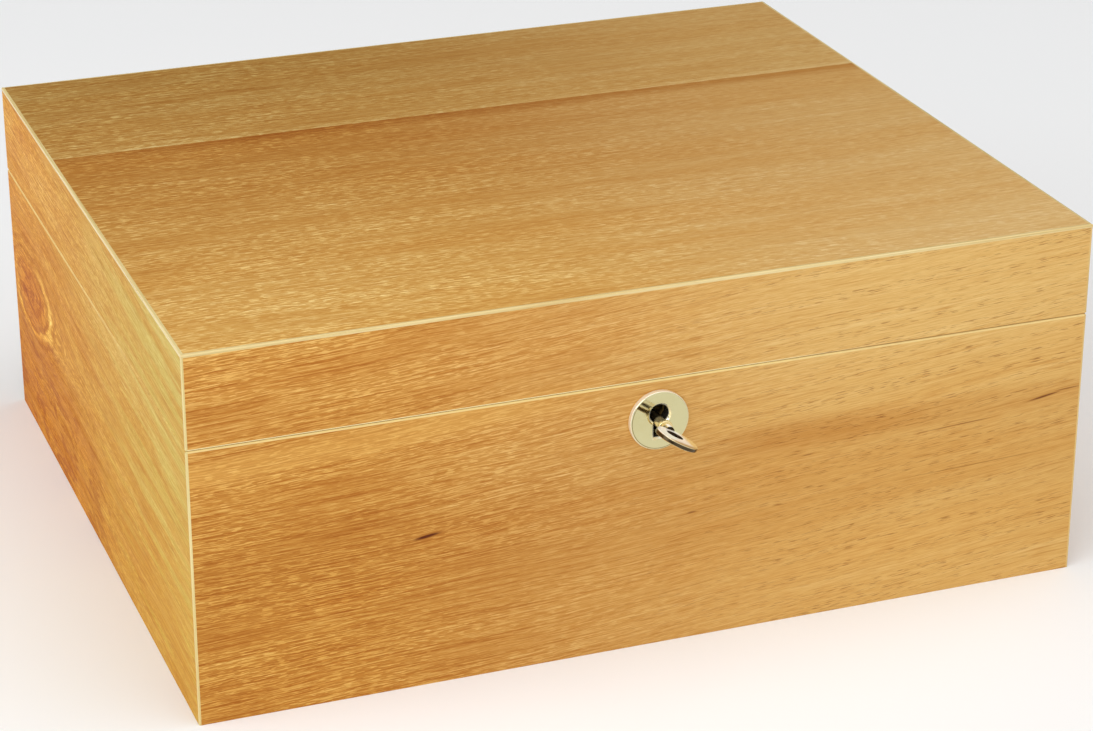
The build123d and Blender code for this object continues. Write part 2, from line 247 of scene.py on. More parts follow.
# ---------------------------------------------------------------- wood of the case
# How much each kind of mark changes the light that the wood returns, in red, green and blue.
LIGHT_FLECK = (1.42, 1.86, 2.9)
LIGHT_STREAK = (1.18, 1.36, 1.75)
OLIVE_STREAK = (0.99, 1.24, 1.4)
DARK_STREAK = (0.79, 0.62, 0.40)
ORANGE_BLUSH = (0.92, 0.76, 0.50)
DARK_PORE = (0.52, 0.38, 0.30)
DARK_MARK = (0.22, 0.08, 0.04)
# The next two colours are the painted highlight on the seam's eased edges.
CREAM = srgb(236, 212, 146)
IVORY = srgb(255, 244, 190)
# Painted shade on the wood seen through the keyhole.
KEYHOLE_SHADE = srgb(22, 14, 10)
SMOOTH_HONEY = srgb(219, 165, 82)

# The noises that the grain is made of: how fast each changes along and across the grain, in cycles
# per millimetre, a shift that keeps them apart, and the noise's detail and roughness.
Layer = namedtuple("Layer", "along across shift detail rough", defaults=(2.0, 0.5))
BROAD = Layer(0.006, 0.05, 11)
BANDS = Layer(0.006, 0.24, 23, 4, 0.62)
STREAKS = Layer(0.024, 1.5, 31, 3, 0.7)
FIBRE = Layer(0.14, 3.4, 47)
GROWTH = Layer(0.007, 0.3, 103, 1)
GROWTH_BREAKS = Layer(0.045, 1.1, 107, 1)
SHORT_FLECKS = Layer(0.24, 2.5, 61, 1)
LONG_FLECKS = Layer(0.07, 2.2, 73, 2)
FLECK_PATCHES = Layer(0.012, 0.07, 79, 1)
SCRATCHES = Layer(0.2, 3.3, 89, 1)
SCRATCH_ROWS = Layer(0.009, 0.34, 97, 2)

# How far the grain wanders from a straight line, slowly and quickly, and how fast the figure
# changes through the board.
WANDER_REACH = 9.0
WAVER_REACH = 1.2
THROUGH_SCALE = 0.03

# The painted highlight on the eased edges at the seam: where each tone starts and ends above the
# seam's middle, and how far in from the outer face they reach.
CREAM_START, CREAM_END = (-0.75, -0.55), (-0.1, 0.0)
IVORY_START, IVORY_END = (0.0, 0.05), (0.45, 0.6)
ARRIS_DEPTH = (-0.6, -0.35)
CREAM_SHARE = 0.85

# The front's dark knot slivers: place along and across the grain, half lengths, tilt in degrees and
# strength.
KNOT_SLIVERS = (
    ((-75.9, 51.6), (5.4, 0.7), 8, 1.0),
    ((136.0, 65.0), (7.0, 0.45), 9, 0.85),
    ((145.0, 66.6), (6.0, 0.3), 3, 0.6),
    ((106.5, 60.0), (15.0, 0.22), 3, 0.6),
    ((113.6, 44.7), (31.0, 0.18), 2, 0.4),
    ((12.0, 44.5), (2.2, 0.4), 5, 0.55),
    ((52.0, 58.0), (2.6, 0.3), 4, 0.5),
)

# The left side's knot: place along and across the grain, half lengths and tilt, how far it moves
# the grain aside and how softly the grain parts, and how closely its rings lie.
KNOT_PLACE = (97.0, 54.0)
KNOT_SIZE = (27.0, 12.0)
KNOT_TILT = math.radians(-6)
KNOT_BEND = -8.0
KNOT_PARTING = 4.0
KNOT_RINGS = 15.0


class Grain(MaterialGraph):
    """A graph for one face of the case, with the place along and across its grain. outer is the
    outer face's distance from the origin, and inward is 0 there and negative inside the wood."""

    def __init__(self, name, grain_axis, across_axis, outer, seed, slope, bend):
        super().__init__(name)
        third, = set("XYZ") - {grain_axis, across_axis}
        along, across = self.axes[grain_axis], self.axes[across_axis]
        self.along, self.across = along, across
        self.inward = self.sub(self.math("ABSOLUTE", self.axes[third]), outer)
        self.depth = self.add(self.mul(self.inward, THROUGH_SCALE), seed)

        # The grain's own lines: straight or bowed, and then wandering a little.
        line = self.sub(across, self.mul(along, slope[0]))
        line = self.sub(line, self.mul(self.mul(along, along), slope[1]))
        wander = self.flat_noise(along, across, 0.005, 0.012, seed, detail=1)
        waver = self.flat_noise(along, across, 0.03, 0.05, seed + 3, detail=1)
        line = self.shifted(line, wander, WANDER_REACH)
        line = self.shifted(line, waver, WAVER_REACH)
        line = self.add(line, self.inward)
        self.line = line if bend is None else self.add(line, bend(self))
        self.fibre = None

    def layer(self, layer, fine=1.0):
        """One noise of the grain. fine narrows its marks."""
        place = self.vector(self.mul(self.along, layer.along),
                            self.mul(self.line, layer.across * fine),
                            self.add(self.depth, layer.shift))
        return self.noise(place, detail=layer.detail, rough=layer.rough)

    def mark_share(self, start, end, at_start, at_end):
        """A share that changes along the grain from one value to another."""
        return self.step(self.along, start, end, at_start, at_end)


def shaded(g, along_range, across_range, low, high):
    """A colour that changes smoothly over a face: low and high are the colours at the start and
    the end of the grain, at the low and the high side."""
    share = g.step(g.along, *along_range)
    rise = g.step(g.across, *across_range)
    return g.mix(rise, g.mix(share, *low), g.mix(share, *high))


def case_wood(name, grain_axis, across_axis, outer, seed, tint, details, fleck, pore,
              slope=(0.0, 0.0), fine=1.0, gloss=0.16, mottle=0.0, bend=None):
    """Honey-coloured hardwood with a fine open grain, along one axis of a face.

    tint gives the wood's colour, and details adds what only one face has. fleck and pore say where
    the shares of light flecks and dark pores change along the grain, and from what to what. slope
    is the grain's rise and how fast the rise grows, and bend moves the grain aside. fine narrows
    the marks, gloss is the polish's reflection and mottle the share of very short flecks."""
    g = Grain(name, grain_axis, across_axis, outer, seed, slope, bend)
    fleck_share = g.mark_share(*fleck)
    broad = g.layer(BROAD)
    bands = g.layer(BANDS)
    streaks = g.layer(STREAKS, fine)
    g.fibre = g.layer(FIBRE, fine)

    # Bands and streaks, stronger where the flecks are.
    colour = g.tone(g.step(broad, 0.42, 0.66, 0.0, 0.35), tint(g), ORANGE_BLUSH)
    dark_bands = g.step(bands, 0.5, 0.72, 0.0, 0.28 - 0.16 * mottle)
    colour = g.tone(g.mul(dark_bands, g.add(fleck_share, 0.35)), colour, DARK_STREAK)
    colour = g.tone(g.fade(bands, 0.3, 0.5, 0.28), colour, LIGHT_STREAK)
    dark_streaks = g.step(streaks, 0.52, 0.60, 0.0, 0.85 - 0.6 * mottle)
    colour = g.tone(g.mul(dark_streaks, g.add(fleck_share, 0.2)), colour, DARK_STREAK)
    light_streaks = g.fade(streaks, 0.36, 0.46, 0.6)
    colour = g.tone(g.mul(light_streaks, g.add(fleck_share, 0.15)), colour, LIGHT_STREAK)
    colour = g.tone(g.step(g.fibre, 0.40, 0.60, 0.0, 0.36), colour, DARK_STREAK)

    # Growth lines: thin, long and broken, where a slow figure crosses its middle value.
    repeated = g.math("FRACT", g.mul(g.layer(GROWTH), 9.0))
    breaks = g.step(g.layer(GROWTH_BREAKS), 0.42, 0.6, 0.0, 0.5 - 0.3 * mottle)
    colour = g.tone(g.mul(g.stripe(repeated, 0.5, 0.03, 0.1), breaks), colour, DARK_STREAK)

    # Light flecks: short dashes where cut fibres catch the light.
    short = g.step(g.layer(SHORT_FLECKS, fine), 0.53, 0.60)
    long = g.mul(g.step(g.layer(LONG_FLECKS, fine), 0.54, 0.60), 0.85 - 0.6 * mottle)
    patches = g.step(g.layer(FLECK_PATCHES), 0.3, 0.62, 0.4, 1.0)
    flecks = g.mul(g.mul(g.math("MAXIMUM", short, long), patches), fleck_share)
    colour = g.tone(g.math("MINIMUM", flecks, 1.0), colour, LIGHT_FLECK)

    # Dark pores: fine short scratches, in loose rows.
    scratches = g.step(g.layer(SCRATCHES, fine), 0.57, 0.66)
    rows = g.step(g.layer(SCRATCH_ROWS, fine), 0.42, 0.62, 0.12, 1.0)
    pores = g.mul(g.mul(scratches, rows), g.mark_share(*pore))
    colour = g.tone(g.mul(pores, 0.8), colour, DARK_PORE)

    relief = g.sub(g.add(g.mul(flecks, 0.4), g.mul(g.fibre, 0.4)), pores)
    rough = g.add(g.step(bands, 0.3, 0.7, 0.42, 0.5), g.mul(pores, 0.2))
    return g.finish(Base_Color=details(g, colour), Roughness=rough,
                    Normal=g.bump(relief, 0.05 * mm, 0.5), Specular_IOR_Level=gloss)


def seam_highlight(g, colour, cream, ivory):
    """A painted highlight on the seam's eased edges, with the share of cream below it and of ivory
    above it.
    """
    rise = g.sub(g.across, seam_z)
    outside = g.step(g.inward, *ARRIS_DEPTH)
    below = g.mul(g.step(rise, *CREAM_START), g.fade(rise, *CREAM_END))
    above = g.mul(g.step(rise, *IVORY_START), g.fade(rise, *IVORY_END))
    # Painted highlight: cream on the edge below the seam, ivory on the edge above it.
    colour = g.mix(g.mul(g.mul(below, outside), cream), colour, CREAM)
    return g.mix(g.mul(g.mul(above, outside), ivory), colour, IVORY)


def plain_seam(g, colour):
    """Only the seam's lower edge gets the painted highlight."""
    return seam_highlight(g, colour, CREAM_SHARE, 0.0)


def knot_sliver(g, colour, place, size, tilt, strength):
    """A small dark sliver of knot with a brown halo."""
    distance = g.ellipse(g.along, g.across, place, size, math.radians(tilt))
    distance = g.shifted(distance, g.fibre, 0.7)
    colour = g.tone(g.fade(distance, 0.6, 2.4, strength * 0.5), colour, DARK_STREAK)
    return g.tone(g.fade(distance, 0.3, 1.1, strength), colour, DARK_MARK)


def painted_plate_shade(g, colour):
    """Painted shade on the wood behind the escutcheon, seen through the keyhole, and a painted
    contact shadow round its edge.
    """
    distance = g.ellipse(g.along, g.across, (0.0, plate_z), (plate_radius, plate_radius))
    # Painted contact shadow just outside the escutcheon's edge.
    colour = g.tone(g.fade(distance, 1.0, 1.09, 0.3), colour, DARK_STREAK)
    # Painted shade behind the escutcheon, seen through the keyhole.
    return g.mix(g.fade(distance, 0.9, 0.95, 0.96), colour, KEYHOLE_SHADE)


def front_tint(g):
    """Deep honey at the left, paler tan at the right and on the lid."""
    return shaded(g, (-110.0, 100.0), (40.0, 112.0),
                  (srgb(188, 127, 48), srgb(218, 174, 100)),
                  (srgb(199, 139, 60), srgb(226, 186, 114)))


def front_details(g, colour):
    """A smooth pale band under the seam, two browner bands, the knot slivers, the painted shade at
    the escutcheon and the seam's painted highlight.
    """
    smooth = g.mul(g.stripe(g.line, 93.5, 2.0, 6.0, 0.45), g.fade(g.along, -60.0, 0.0))
    colour = g.mix(smooth, colour, SMOOTH_HONEY)
    right = g.mul(g.step(g.along, 10.0, 40.0), g.step(g.along, 60.0, 110.0, 0.7, 0.35))
    colour = g.tone(g.mul(right, g.stripe(g.across, 66.0, 1.5, 7.0)), colour, DARK_STREAK)
    colour = g.tone(g.stripe(g.across, 50.0, 7.8, 26.0, 0.22), colour, DARK_STREAK)
    for place, size, tilt, strength in KNOT_SLIVERS:
        colour = knot_sliver(g, colour, place, size, tilt, strength)
    colour = painted_plate_shade(g, colour)
    return seam_highlight(g, colour, CREAM_SHARE, g.fade(g.along, 25.0, 85.0))


def left_tint(g):
    """Pale yellow at the front corner, orange-brown to the back and low down."""
    return shaded(g, (-140.0, 130.0), (0.0, 124.0),
                  (srgb(208, 160, 64), srgb(200, 124, 22)),
                  (srgb(207, 174, 90), srgb(212, 148, 58)))


def knot_distance(g):
    """How far a place is from the left side's knot, in the knot's own half lengths."""
    return g.ellipse(g.along, g.across, KNOT_PLACE, KNOT_SIZE, KNOT_TILT)


def round_the_knot(g):
    """The grain parts above and below the knot."""
    rise = g.sub(g.across, KNOT_PLACE[1])
    side = g.math("DIVIDE", rise, g.add(g.math("ABSOLUTE", rise), KNOT_PARTING))
    return g.mul(g.mul(side, g.fade(knot_distance(g), 0.6, 3.4)), KNOT_BEND)


def left_details(g, colour):
    """A swirl of the grain round a knot near the back, brown flames, olive streaks at the front
    corner, an orange flush and the seam."""
    jitter = g.flat_noise(g.along, g.across, 0.05, 0.09, 5.0, detail=3)
    distance = g.shifted(knot_distance(g), jitter, 0.8)
    rings = g.step(g.math("SINE", g.mul(distance, KNOT_RINGS)), 0.0, 1.0)
    colour = g.tone(g.mul(rings, g.mul(g.fade(distance, 1.0, 2.6), 0.7)), colour, DARK_STREAK)
    colour = g.tone(g.fade(distance, 0.6, 1.05, 0.8), colour, ORANGE_BLUSH)
    # The knot's light edge fades to the top and the back.
    upper = g.add(g.sub(g.across, KNOT_PLACE[1]), g.mul(g.sub(g.along, KNOT_PLACE[0]), 0.5))
    edge = g.mul(g.stripe(distance, 1.1, 0.03, 0.12, 0.8), g.step(upper, 2.0, 12.0, 1.0, 0.1))
    colour = g.tone(edge, colour, LIGHT_FLECK)

    flame = g.flat_noise(g.along, g.line, 0.05, 0.16, 9.0, detail=4, rough=0.65, distortion=0.8)
    low = g.mul(g.fade(g.across, 20.0, 60.0), g.step(g.along, -60.0, 20.0))
    colour = g.tone(g.mul(g.step(flame, 0.48, 0.6), low), colour, DARK_STREAK)

    streak = g.flat_noise(g.along, g.line, 0.008, 0.17, 15.0, detail=3, rough=0.6)
    olive = g.mul(g.step(streak, 0.46, 0.6), g.fade(g.along, -90.0, 40.0, 0.6))
    colour = g.tone(olive, colour, OLIVE_STREAK)
    flush = g.flat_noise(g.along, g.line, 0.02, 0.07, 27.0, detail=3)
    flush = g.mul(g.step(flush, 0.42, 0.6, 0.0, 0.5), g.fade(olive, 0.0, 0.3))
    colour = g.tone(flush, colour, ORANGE_BLUSH)
    # The seam's painted highlight, fainter towards the back.
    faded = g.step(g.along, -120.0, 40.0, 0.2, 0.75)
    return seam_highlight(g, colour, faded, faded)


def right_tint(g):
    """Tan, browner to the back."""
    return shaded(g, (-130.0, 130.0), (0.0, 124.0),
                  (srgb(212, 162, 90), srgb(200, 142, 70)),
                  (srgb(220, 178, 108), srgb(210, 160, 88)))


def back_tint(g):
    """An even honey."""
    return shaded(g, (-140.0, 140.0), (0.0, 124.0),
                  (srgb(204, 148, 74), srgb(198, 138, 64)),
                  (srgb(212, 162, 88), srgb(208, 154, 80)))


def top_front_tint(g):
    """Bright at the front edge and browner towards the joint."""
    return shaded(g, (-60.0, 150.0), (-150.0, 62.0),
                  (srgb(213, 163, 84), srgb(219, 181, 118)),
                  (srgb(177, 121, 50), srgb(202, 160, 96)))


def joint_shade(g, colour):
    """The front board's edge at the joint: a reddish brown line that fades to the front."""
    gap = g.sub(joint_y, g.across)
    ragged = g.fade(g.shifted(gap, g.fibre, 3.0), 2.0, 9.0, 0.9)
    colour = g.tone(g.mul(ragged, g.step(g.along, -150.0, -70.0, 0.4, 1.0)), colour, DARK_STREAK)
    return g.tone(g.fade(gap, 8.0, 40.0, 0.15), colour, ORANGE_BLUSH)


def top_back_tint(g):
    """Olive gold, darker to the back."""
    return shaded(g, (-50.0, 150.0), (40.0, 129.0),
                  (srgb(182, 135, 65), srgb(200, 160, 95)),
                  (srgb(168, 124, 57), srgb(196, 155, 91)))


def pale_joint_edge(g, colour):
    """A lighter line along the back board's edge at the joint."""
    return g.tone(g.fade(g.sub(g.across, joint_y), 1.0, 4.5, 0.6), colour, LIGHT_STREAK)


wall_woods = {
    "front": case_wood("front_wood", "X", "Z", half_depth, 4.0, front_tint, front_details,
                       fleck=(-130.0, 70.0, 1.0, 0.05), pore=(-70.0, 90.0, 0.1, 1.0),
                       slope=(0.07, 0.0001)),
    "back": case_wood("back_wood", "X", "Z", half_depth, 19.0, back_tint, plain_seam,
                      fleck=(-150.0, 150.0, 0.4, 0.7), pore=(-150.0, 150.0, 0.6, 0.3),
                      slope=(-0.03, 0.0)),
    "left": case_wood("left_wood", "Y", "Z", half_width, 33.0, left_tint, left_details,
                      fleck=(-110.0, 90.0, 0.3, 0.8), pore=(-120.0, 120.0, 0.1, 0.25),
                      slope=(0.04, 0.0), gloss=0.03, bend=round_the_knot),
    "right": case_wood("right_wood", "Y", "Z", half_width, 52.0, right_tint, plain_seam,
                       fleck=(-129.0, 129.0, 0.1, 0.6), pore=(-129.0, 129.0, 0.9, 0.4),
                       slope=(-0.04, 0.0)),
}
for side, wood in wall_woods.items():
    coat("base_" + side + "_wall", wood)
    coat("lid_" + side + "_wall", wood)
coat("lid_top_board_front",
     case_wood("top_front_wood", "X", "Y", height, 71.0, top_front_tint, joint_shade,
               fleck=(-130.0, 120.0, 1.0, 0.25), pore=(-150.0, 150.0, 0.1, 0.2),
               fine=0.6, mottle=0.8))
coat("lid_top_board_back",
     case_wood("top_back_wood", "X", "Y", height, 88.0, top_back_tint, pale_joint_edge,
               fleck=(-130.0, 120.0, 0.95, 0.25), pore=(-150.0, 150.0, 0.1, 0.2),
               slope=(0.01, 0.0), fine=0.6, mottle=0.5))


# ---------------------------------------------------------------- other woods
# Each wood's colours, and the factors that darken the strips: the front right corner's is painted
# shade, and the left top strip's lighter one is partly a painted highlight.
BOXWOOD = (srgb(208, 184, 118), srgb(232, 212, 152), srgb(244, 230, 184))
OLD_BOXWOOD = srgb(222, 186, 118)
AGED = (0.94, 0.90, 0.82)
LIT_LEFT_STRIP = (1.0, 0.98, 0.9)
YELLOWED = (0.88, 0.87, 0.72)
SHADED_CORNER = (0.86, 0.72, 0.52)
CEDAR = (srgb(190, 118, 72), srgb(166, 92, 52), srgb(128, 64, 34))
BIRCH = (srgb(214, 184, 136), srgb(196, 160, 110), srgb(160, 120, 76))

# The axis that the strips and the lining boards of each side run along.
SIDE_AXES = {"front": "X", "right": "Y", "back": "X", "left": "Y"}


def pale_strip(name, grain_axis, seed, shade=(1.0, 1.0, 1.0)):
    """Boxwood stringing: cream, with a faint fine grain. shade darkens it."""
    g = MaterialGraph(name)
    grain = g.noise(g.scaled(1.6, grain_axis, 0.02), detail=3, rough=0.6)
    slow = g.noise(g.scaled(0.02, seed=seed), detail=2)
    colour = g.ramp(grain, (0.25, 0.5, 0.8), BOXWOOD)
    colour = g.mix(g.step(slow, 0.4, 0.7, 0.0, 0.3), colour, OLD_BOXWOOD)
    return g.finish(Base_Color=g.tone(1.0, colour, shade),
                    Roughness=g.step(grain, 0.3, 0.7, 0.26, 0.38),
                    Normal=g.bump(grain, 0.04 * mm, 0.4), Coat_Weight=0.35, Coat_Roughness=0.15)


def plain_wood(name, grain_axis, seed, colours, across_scale):
    """Straight-grained wood for the pieces inside, with its rings and pores."""
    g = MaterialGraph(name)
    bands = g.noise(g.scaled(across_scale, grain_axis, 0.006, seed), detail=4, rough=0.6,
                    distortion=0.4)
    pores = g.noise(g.scaled(2.2, grain_axis, 0.09), detail=1)
    colour = g.ramp(bands, (0.25, 0.5, 0.75), colours)
    colour = g.mix(g.step(pores, 0.62, 0.74, 0.0, 0.55), colour, colours[-1])
    return g.finish(Base_Color=colour, Roughness=g.step(bands, 0.3, 0.7, 0.5, 0.62),
                    Normal=g.bump(g.sub(bands, pores), 0.08 * mm, 0.5))


for side, axis in SIDE_AXES.items():
    # The left top strip is darkened less: partly a painted highlight on that lit edge.
    shade = LIT_LEFT_STRIP if side == "left" else AGED
    coat("lid_string_" + side, pale_strip("string_wood_" + side, axis, 7.0, shade))
    coat("lining_" + side, plain_wood("cedar_" + side, axis, 3.0, CEDAR, 0.5))
coat("base_floor", plain_wood("floor_board_wood", "X", 5.0, BIRCH, 0.12))

back_strip = pale_strip("corner_string_wood", "Z", 13.0)
corner_strips = {
    "front_left": pale_strip("yellowed_string_wood", "Z", 13.0, YELLOWED),
    # The front right corner strip is darker: painted shade, as the rounded corner turns away from
    # the light.
    "front_right": pale_strip("shaded_corner_string_wood", "Z", 17.0, SHADED_CORNER),
    "back_right": back_strip,
    "back_left": back_strip,
}
for corner, strip in corner_strips.items():
    coat("base_string_" + corner, strip)
    coat("lid_corner_string_" + corner, strip)


# ---------------------------------------------------------------- metals
def metal(name, light, dark, rough, seed, brush_axis=None, wear=0.3, metallic=1.0, shade=None):
    """Brass or steel with fine brushing, soft smudges and a little tarnish. rough is the range of
    its roughness, wear the tarnish's share, and shade adds what only one piece has."""
    g = MaterialGraph(name)
    brush = g.noise(g.scaled(5.0, brush_axis, 0.12), detail=2, rough=0.7)
    slow = g.noise(g.scaled(0.14, seed=seed), detail=4, rough=0.6)
    colour = g.mix(g.step(slow, 0.4, 0.75, 0.0, wear), light, dark)
    colour = g.mix(g.step(brush, 0.3, 0.8, 0.0, 0.12), colour, dark)
    if shade is not None:
        colour, metallic = shade(g, colour, metallic)
    roughness = g.shifted(g.step(slow, 0.35, 0.7, *rough), brush, 0.06)
    return g.finish(Base_Color=colour, Metallic=metallic, Roughness=roughness,
                    Normal=g.bump(brush, 0.004 * mm, 0.2))


# Painted light on the key's and the escutcheon's brass: highlights, gold on part of the key's, and
# painted shade on rims, in holes and inside the lock.
KEY_HIGHLIGHT = srgb(255, 254, 246)
KEY_GOLD = srgb(236, 204, 120)
KEY_TIP = srgb(170, 132, 60)
KEY_RIM_SHADE = srgb(52, 36, 18)
KEY_HOLE_SHADE = srgb(44, 28, 12)
KEY_INSIDE_SHADE = srgb(28, 18, 10)
PLATE_HIGHLIGHT = srgb(250, 246, 226)
PLATE_EDGE_SHADE = srgb(110, 84, 44)
PLATE_INSIDE_SHADE = srgb(30, 20, 12)


def key_finish(g, colour, metallic):
    """The key: a painted highlight on its bow's face, turning gold at the upper edge and the tip,
    and painted shade round the rim, in the hole and inside the lock."""
    x, y, z = g.axes.values()
    cos, sin = math.cos(key_tilt), math.sin(key_tilt)
    across = g.sub(g.mul(g.sub(z, key_z), cos), g.mul(x, sin))
    on_bow = g.fade(y, *bow_end)
    turned = g.facing((cos, 0.0, sin))
    face = g.mul(g.step(turned, 0.6, 0.9), on_bow)
    rim = g.mul(g.fade(g.math("ABSOLUTE", turned), 0.35, 0.75), on_bow)
    hole = g.ellipse(y, across, (bow_hole_y, 0.0), (bow_hole_radius, bow_hole_radius))
    upper_edge = g.fade(across, -5.0, -2.0, 0.9)
    tip = g.fade(y, key_end + 1.0, key_end + 4.0, 0.9)
    inside = g.step(y, plate_front + 0.2, plate_front + 1.0)
    # Painted light: the bow's face takes a highlight colour and loses most of its metal; the rim,
    # the hole and the part inside the lock take painted shade.
    colour = g.mix(face, colour, KEY_HIGHLIGHT)
    colour = g.mix(g.mul(face, upper_edge), colour, KEY_GOLD)
    colour = g.mix(g.mul(face, tip), colour, KEY_TIP)
    colour = g.mix(g.mul(rim, 0.95), colour, KEY_RIM_SHADE)
    colour = g.mix(g.fade(hole, 1.02, 1.14, 0.92), colour, KEY_HOLE_SHADE)
    colour = g.mix(g.mul(inside, 0.92), colour, KEY_INSIDE_SHADE)
    return colour, g.mul(g.sub(1.0, g.mul(face, 0.9)), metallic)


def plate_finish(g, colour, metallic):
    """The escutcheon: a painted highlight on its rim and keyhole edge, a painted dark line by the
    rim on the side away from the light, and painted shade on the sleeve inside."""
    x, y, z = g.axes.values()
    distance = g.ellipse(x, z, (0.0, plate_z), (plate_radius, plate_radius))
    edge = g.fade(g.facing((0.0, -1.0, 0.0)), 0.6, 0.95)
    dark_edge_line = g.mul(g.stripe(distance, 0.945, 0.006, 0.016, 0.8),
                   g.fade(g.add(x, z), plate_z - 6.0, plate_z + 4.0))
    sleeve = g.mul(g.step(y, plate_front + 0.7, plate_front + 1.3),
                   g.fade(distance, 0.75, 0.85, 0.95))
    # Painted light: the highlight on the rim and the keyhole edge, with less metal there, a painted
    # dark edge line and painted shade in the sleeve.
    colour = g.mix(edge, colour, PLATE_HIGHLIGHT)
    colour = g.mix(dark_edge_line, colour, PLATE_EDGE_SHADE)
    colour = g.mix(sleeve, colour, PLATE_INSIDE_SHADE)
    return colour, g.mul(g.sub(1.0, g.mul(edge, 0.6)), metallic)


plate_brass = metal("escutcheon_brass", srgb(214, 207, 160), srgb(198, 186, 130),
                    rough=(0.07, 0.12), seed=2.0, shade=plate_finish)
key_brass = metal("key_brass", srgb(244, 226, 170), srgb(222, 184, 106),
                  rough=(0.14, 0.24), seed=9.0, wear=0.35, metallic=0.8, shade=key_finish)
lock_brass = metal("lock_brass", srgb(226, 196, 124), srgb(170, 132, 70),
                   rough=(0.36, 0.48), seed=21.0, brush_axis="X", wear=0.5, metallic=0.85)
hinge_brass = metal("hinge_brass", srgb(230, 200, 126), srgb(168, 128, 66),
                    rough=(0.32, 0.44), seed=31.0, brush_axis="X", wear=0.5, metallic=0.85)
steel = metal("lock_steel", srgb(190, 188, 184), srgb(128, 122, 114),
              rough=(0.28, 0.42), seed=43.0, brush_axis="X", wear=0.5)
coat("escutcheon", plate_brass)
coat("key", key_brass)
for name in ("lock_case", "lock_cap", "lock_selvedge", "strike_plate"):
    coat(name, lock_brass)
for name in ("lock_key_post", "lock_spring", "lock_bolt"):
    coat(name, steel)
for name in ("lock_screws", "strike_screws"):
    coat(name, hinge_brass)
for hand in ("left", "right"):
    for start in ("hinge_base_leaf_", "hinge_lid_leaf_", "hinge_base_screws_",
                  "hinge_lid_screws_", "hinge_pin_"):
        coat(start + hand, hinge_brass)


# ---------------------------------------------------------------- felt and baize
# A panel's mesh: cells along X and Y, the room left at its edges, its rounding and the largest
# share of its thickness that this may take, and its nap as waves per metre and depth.
FELT_CELLS = (72, 62)
FELT_INSET = 0.25 * mm
FELT_ROUND = 0.9 * mm
FELT_ROUND_SHARE = 0.45
SLOW_NAP = (18, 0.10 * mm)
QUICK_NAP = (90, 0.05 * mm)


def felt_cloth(name, light, dark, seed):
    """Wool felt: matted fibres, a soft sheen and slight cloudy shading."""
    g = MaterialGraph(name)
    x, y, z = g.axes.values()
    fibres = g.noise(g.vector(g.mul(x, 2.2), g.mul(y, 2.2), g.add(z, seed)), detail=5, rough=0.7,
                     distortion=1.5)
    clouds = g.flat_noise(x, y, 0.02, 0.02, seed, detail=3)
    specks = g.noise(g.vector(g.mul(x, 5.0), g.mul(y, 1.4), g.add(z, seed + 5)), detail=2)
    speck_colour = tuple(min(1.0, value * 2.4 + 0.02) for value in light)
    colour = g.mix(g.step(fibres, 0.3, 0.7), dark, light)
    colour = g.mix(g.step(clouds, 0.35, 0.7, 0.0, 0.35), colour, dark)
    colour = g.mix(g.step(specks, 0.68, 0.76, 0.0, 0.4), colour, speck_colour)
    return g.finish(Base_Color=colour, Roughness=g.step(fibres, 0.3, 0.7, 0.86, 0.98),
                    Normal=g.bump(fibres, 0.3 * mm, 0.7), Sheen_Weight=0.35, Sheen_Roughness=0.5)


def nap_depth(x, y, seed):
    """How far the nap lies below the panel's full thickness."""
    depth = 0.0
    for shift, (waves, reach) in ((0, SLOW_NAP), (4, QUICK_NAP)):
        depth += reach * (1 - noise.noise(Vector((x * waves, y * waves, seed + shift))))
    return depth


def spread(low, high, cells):
    """Evenly spaced places between a panel's two edges."""
    start, reach = low + FELT_INSET, high - low - 2 * FELT_INSET
    return [start + reach * index / cells for index in range(cells + 1)]


def felt_mesh(name, low, high, seed, faces_up):
    """A closed flat slab whose free side has the nap's small waves."""
    across, deep = FELT_CELLS
    xs, ys = spread(low.x, high.x, across), spread(low.y, high.y, deep)
    glued_z, nap_z, inward = (low.z, high.z, -1) if faces_up else (high.z, low.z, 1)
    made = bmesh.new()
    glued = [[made.verts.new((x, y, glued_z)) for x in xs] for y in ys]
    nap = [[made.verts.new((x, y, nap_z + inward * nap_depth(x, y, seed))) for x in xs]
           for y in ys]
    for j in range(deep):
        for i in range(across):
            for side in (glued, nap):
                made.faces.new((side[j][i], side[j][i + 1], side[j + 1][i + 1], side[j + 1][i]))
    border = ([(0, i) for i in range(across)] + [(j, across) for j in range(deep)]
              + [(deep, i) for i in range(across, 0, -1)] + [(j, 0) for j in range(deep, 0, -1)])
    for (j, i), (next_j, next_i) in zip(border, border[1:] + border[:1]):
        made.faces.new((glued[j][i], glued[next_j][next_i], nap[next_j][next_i], nap[j][i]))
    bmesh.ops.recalc_face_normals(made, faces=made.faces)
    mesh = bpy.data.meshes.new(name)
    made.to_mesh(mesh)
    made.free()
    for face in mesh.polygons:
        face.use_smooth = True
    return mesh


def felt_panel(name, node, body, material, seed, faces_up=True):
    """A glued felt panel in its CAD solid's space, with rounded edges and a slightly uneven nap."""
    low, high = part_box(node)
    piece = bpy.data.objects.new(name, felt_mesh(name, low, high, seed, faces_up))
    bpy.context.scene.collection.objects.link(piece)
    bevel = piece.modifiers.new("round", "BEVEL")
    bevel.width = min(FELT_ROUND, (high.z - low.z) * FELT_ROUND_SHARE)
    bevel.segments = 3
    bevel.limit_method = "ANGLE"
    bevel.angle_limit = math.radians(60)
    piece.data.materials.append(material)
    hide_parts(node)
    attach(piece, body)


